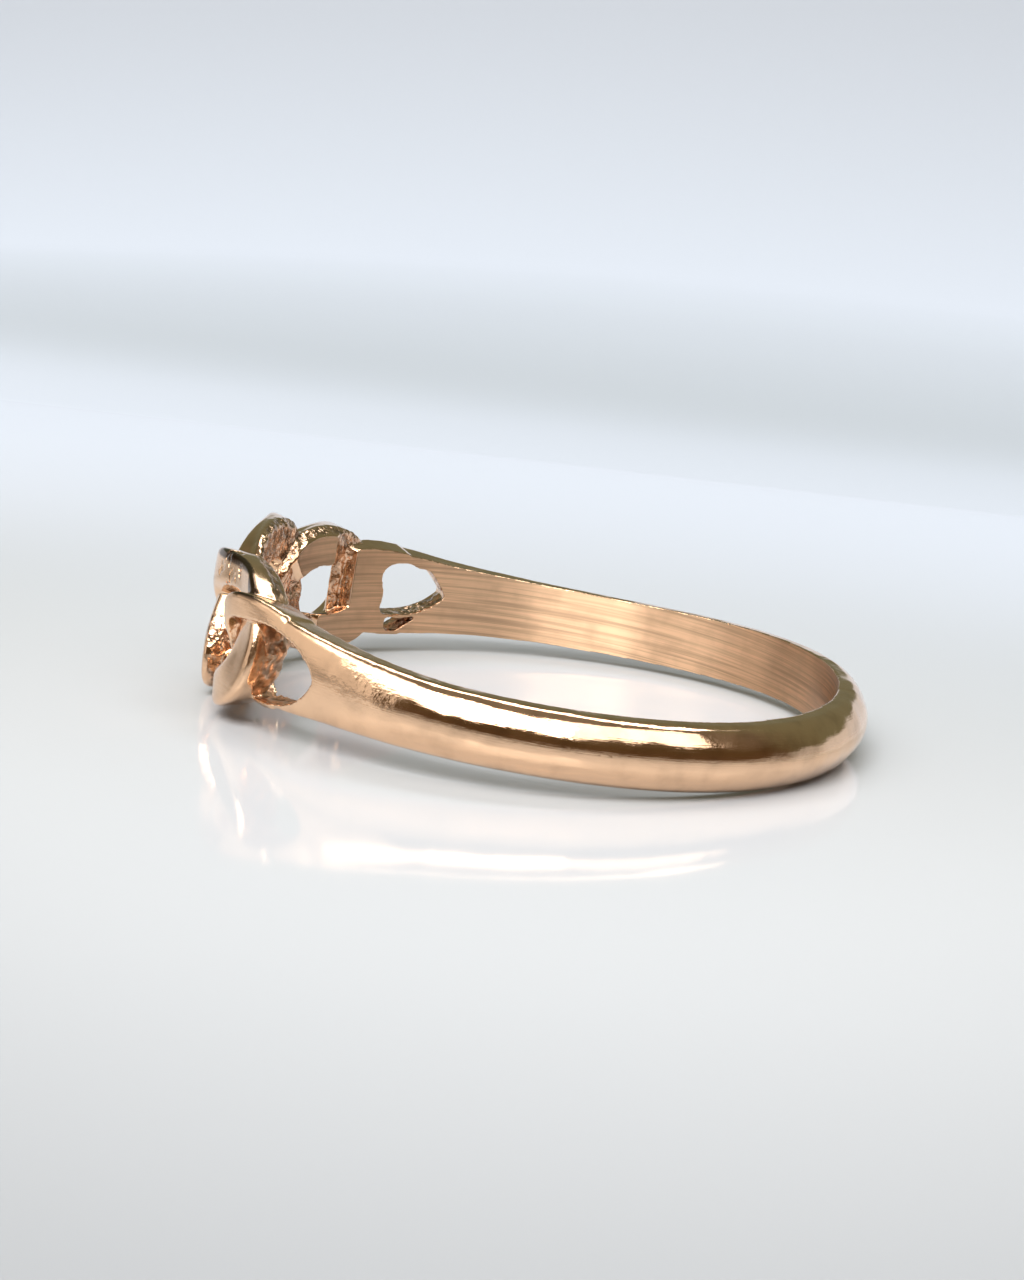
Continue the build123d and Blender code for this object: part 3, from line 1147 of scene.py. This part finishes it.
def make_sheet(name, line, material):
    """A stage sheet that follows a line of (depth, height) points."""
    verts = [(x, y, z) for x in (-STAGE_HALF_WIDTH, STAGE_HALF_WIDTH) for y, z in line]
    n = len(line)
    faces = [(i, n + i, n + i + 1, i + 1) for i in range(n - 1)]
    sheet = new_object(name, verts, faces)
    sheet.data.polygons.foreach_set("use_smooth", [True] * len(faces))
    sheet.data.materials.append(material)
    sheet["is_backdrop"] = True
    return sheet


def make_floor():
    """Pale floor, and a backdrop that it runs up into, which the gold doesn't mirror."""
    material = floor_material()
    make_sheet("floor", [(FLOOR_FRONT, 0.0), (FLOOR_BACK, 0.0)], material)
    curve = []
    for i in range(BACKDROP_STEPS + 1):
        a = math.pi / 2 * i / BACKDROP_STEPS
        curve.append((FLOOR_BACK + BACKDROP_BEND * math.sin(a), BACKDROP_BEND * (1 - math.cos(a))))
    curve.append((FLOOR_BACK + BACKDROP_BEND, BACKDROP_TOP))
    backdrop = make_sheet("backdrop", curve, material)
    backdrop.visible_glossy = False


# Camera at the photograph's angle, in the ring's own frame: place in mm, and the directions
# to its right, down and ahead; lens and sensor in mm
CAMERA_PLACE = Vector((8.6054, -70.2246, 15.8341))
CAMERA_RIGHT = Vector((0.97088, 0.17226, 0.16651))
CAMERA_DOWN = Vector((0.19752, -0.18216, -0.96323))
CAMERA_AHEAD = Vector((-0.13559, 0.96806, -0.21088))
CAMERA_LENS = 67.67
CAMERA_SENSOR = 36


def make_camera():
    """Camera at the photograph's angle to the ring."""
    data = bpy.data.cameras.new("camera")
    data.sensor_fit = "VERTICAL"
    data.sensor_height = CAMERA_SENSOR
    data.lens = CAMERA_LENS
    data.clip_start = 0.001
    data.clip_end = 10
    camera = bpy.data.objects.new("camera", data)
    bpy.context.scene.collection.objects.link(camera)
    turn = Matrix((CAMERA_RIGHT, -CAMERA_DOWN, -CAMERA_AHEAD)).transposed().to_4x4()
    place = laid_matrix() @ Matrix.Translation(CAMERA_PLACE) @ turn
    where, rotation, _ = place.decompose()
    camera.matrix_world = Matrix.Translation(where) @ rotation.to_matrix().to_4x4()
    bpy.context.scene.camera = camera


# Soft lights in front of the ring, on a circle around it, with the circle's radius and the
# height of their panels, and one behind it
KEY_ROWS = [
    # azimuth in degrees, height and width in m, power in W
    (-160, 0.27, 0.60, 0.85),
    (-131, 0.66, 0.80, 5.0),
    (-94, 0.70, 0.60, 9.6),
    (-44, 0.78, 1.10, 5.0),
]
KEY_DISTANCE = 0.60
KEY_HEIGHT = 0.52
KEY_COLOUR = (1, 0.98, 0.96)
BACK_PLACE = (0.00, 0.16, 0.38)
BACK_SIZE = (0.40, 0.10)
BACK_POWER = 0.8
BACK_COLOUR = (0.95, 0.98, 1)


def soft_light(name, place, extent, power, colour):
    """A soft rectangular light that faces the ring."""
    data = bpy.data.lights.new(name, "AREA")
    data.shape = "RECTANGLE"
    data.size, data.size_y = extent
    data.energy = power
    data.color = colour
    light = bpy.data.objects.new(name, data)
    light.location = place
    light.rotation_euler = (-Vector(place)).to_track_quat("-Z", "Y").to_euler()
    bpy.context.scene.collection.objects.link(light)


def make_lights():
    """Lights in front of the ring and one behind it."""
    for azimuth, rise, width, power in KEY_ROWS:
        a = math.radians(azimuth)
        place = (KEY_DISTANCE * math.cos(a), KEY_DISTANCE * math.sin(a), rise)
        soft_light("key", place, (width, KEY_HEIGHT), power, KEY_COLOUR)
    soft_light("back", BACK_PLACE, BACK_SIZE, BACK_POWER, BACK_COLOUR)


# Colours of the room that the gold mirrors, by how far up a direction points, then behind
# the ring, low behind it, and past the backdrop's top as the camera sees it
ROOM_ROWS = [
    # upward part of the direction, colour
    (0.00, (0.40, 0.38, 0.36)),
    (0.06, (0.12, 0.075, 0.04)),
    (0.38, (0.105, 0.07, 0.034)),
    (1.00, (0.26, 0.24, 0.20)),
]
ROOM_BEHIND = (0.20, 0.21, 0.14)
ROOM_LOW = (0.78, 0.82, 0.88)
ROOM_SEEN = (0.80, 0.84, 0.90)


def make_world():
    """A dim room for the gold to mirror, with a pale backdrop behind the floor."""
    world = bpy.data.worlds.new("studio")
    bpy.context.scene.world = world
    world.use_nodes = True
    g = Graph(world.node_tree)
    _, behind, upward = g.parts(g.node("ShaderNodeTexCoord").outputs["Generated"])
    rows = g.node("ShaderNodeValToRGB", {0: upward})
    stops = rows.color_ramp.elements
    while len(stops) < len(ROOM_ROWS):
        stops.new(0.5)
    for stop, (height, colour) in zip(stops, ROOM_ROWS):
        stop.position = height
        stop.color = shade(colour)
    behind = g.ramp(behind, 0.1, 0.6)
    raised = g.mul(behind, g.ramp(upward, 0.02, 0.08))
    room = g.blend(raised, rows.outputs[0], shade(ROOM_BEHIND))
    room = g.blend(g.mul(behind, g.ramp(upward, 0.21, 0.13)), room, shade(ROOM_LOW))
    seen = g.node("ShaderNodeLightPath").outputs["Is Camera Ray"]
    back = g.group.nodes["Background"].inputs
    g.plug(g.blend(seen, room, shade(ROOM_SEEN)), back["Color"])
    back["Strength"].default_value = 1.0


# Operators and panel

class RING_OT_casting(bpy.types.Operator):
    """Make the ring's one casting"""
    bl_idname = "chain_ring.casting"
    bl_label = "Ring casting"

    def execute(self, context):
        material = gold_material()
        ring = make_casting(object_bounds())
        ring.data.materials.clear()
        ring.data.materials.append(material)
        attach(ring, "root")
        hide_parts("chain_ring")
        return {"FINISHED"}


class RING_OT_stage(bpy.types.Operator):
    """Make the floor, the lights and the camera"""
    bl_idname = "chain_ring.stage"
    bl_label = "Stage"

    def execute(self, context):
        make_floor()
        make_camera()
        make_world()
        make_lights()
        context.scene.view_settings.view_transform = "Standard"
        return {"FINISHED"}


class RING_PT_panel(bpy.types.Panel):
    """Sidebar panel of the chain ring"""
    bl_idname = "RING_PT_panel"
    bl_label = "Chain ring"
    bl_space_type = "VIEW_3D"
    bl_region_type = "UI"
    bl_category = "Chain Ring"

    def draw(self, context):
        layout = self.layout
        for group in (context.scene.ring_sizes, context.scene.link_sizes, context.scene.ring_colours):
            for name in group.bl_rna.properties.keys():
                if name not in ("rna_type", "name"):
                    layout.prop(group, name)
        for operator in (RING_OT_casting, RING_OT_stage):
            layout.operator(operator.bl_idname)


CLASSES = (RingSizes, LinkSizes, RingColours, RING_OT_casting, RING_OT_stage, RING_PT_panel)


def register():
    """Make the sizes, operators and panel known."""
    for cls in CLASSES:
        bpy.utils.register_class(cls)
    bpy.types.Scene.ring_sizes = bpy.props.PointerProperty(type=RingSizes)
    bpy.types.Scene.link_sizes = bpy.props.PointerProperty(type=LinkSizes)
    bpy.types.Scene.ring_colours = bpy.props.PointerProperty(type=RingColours)


def unregister():
    """Take the sizes, operators and panel away."""
    del bpy.types.Scene.ring_colours
    del bpy.types.Scene.link_sizes
    del bpy.types.Scene.ring_sizes
    for cls in reversed(CLASSES):
        bpy.utils.unregister_class(cls)


def main():
    """Build the ring and its stage."""
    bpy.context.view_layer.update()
    register()
    bpy.ops.chain_ring.casting()
    bpy.ops.chain_ring.stage()


if __name__ == "__main__":
    main()
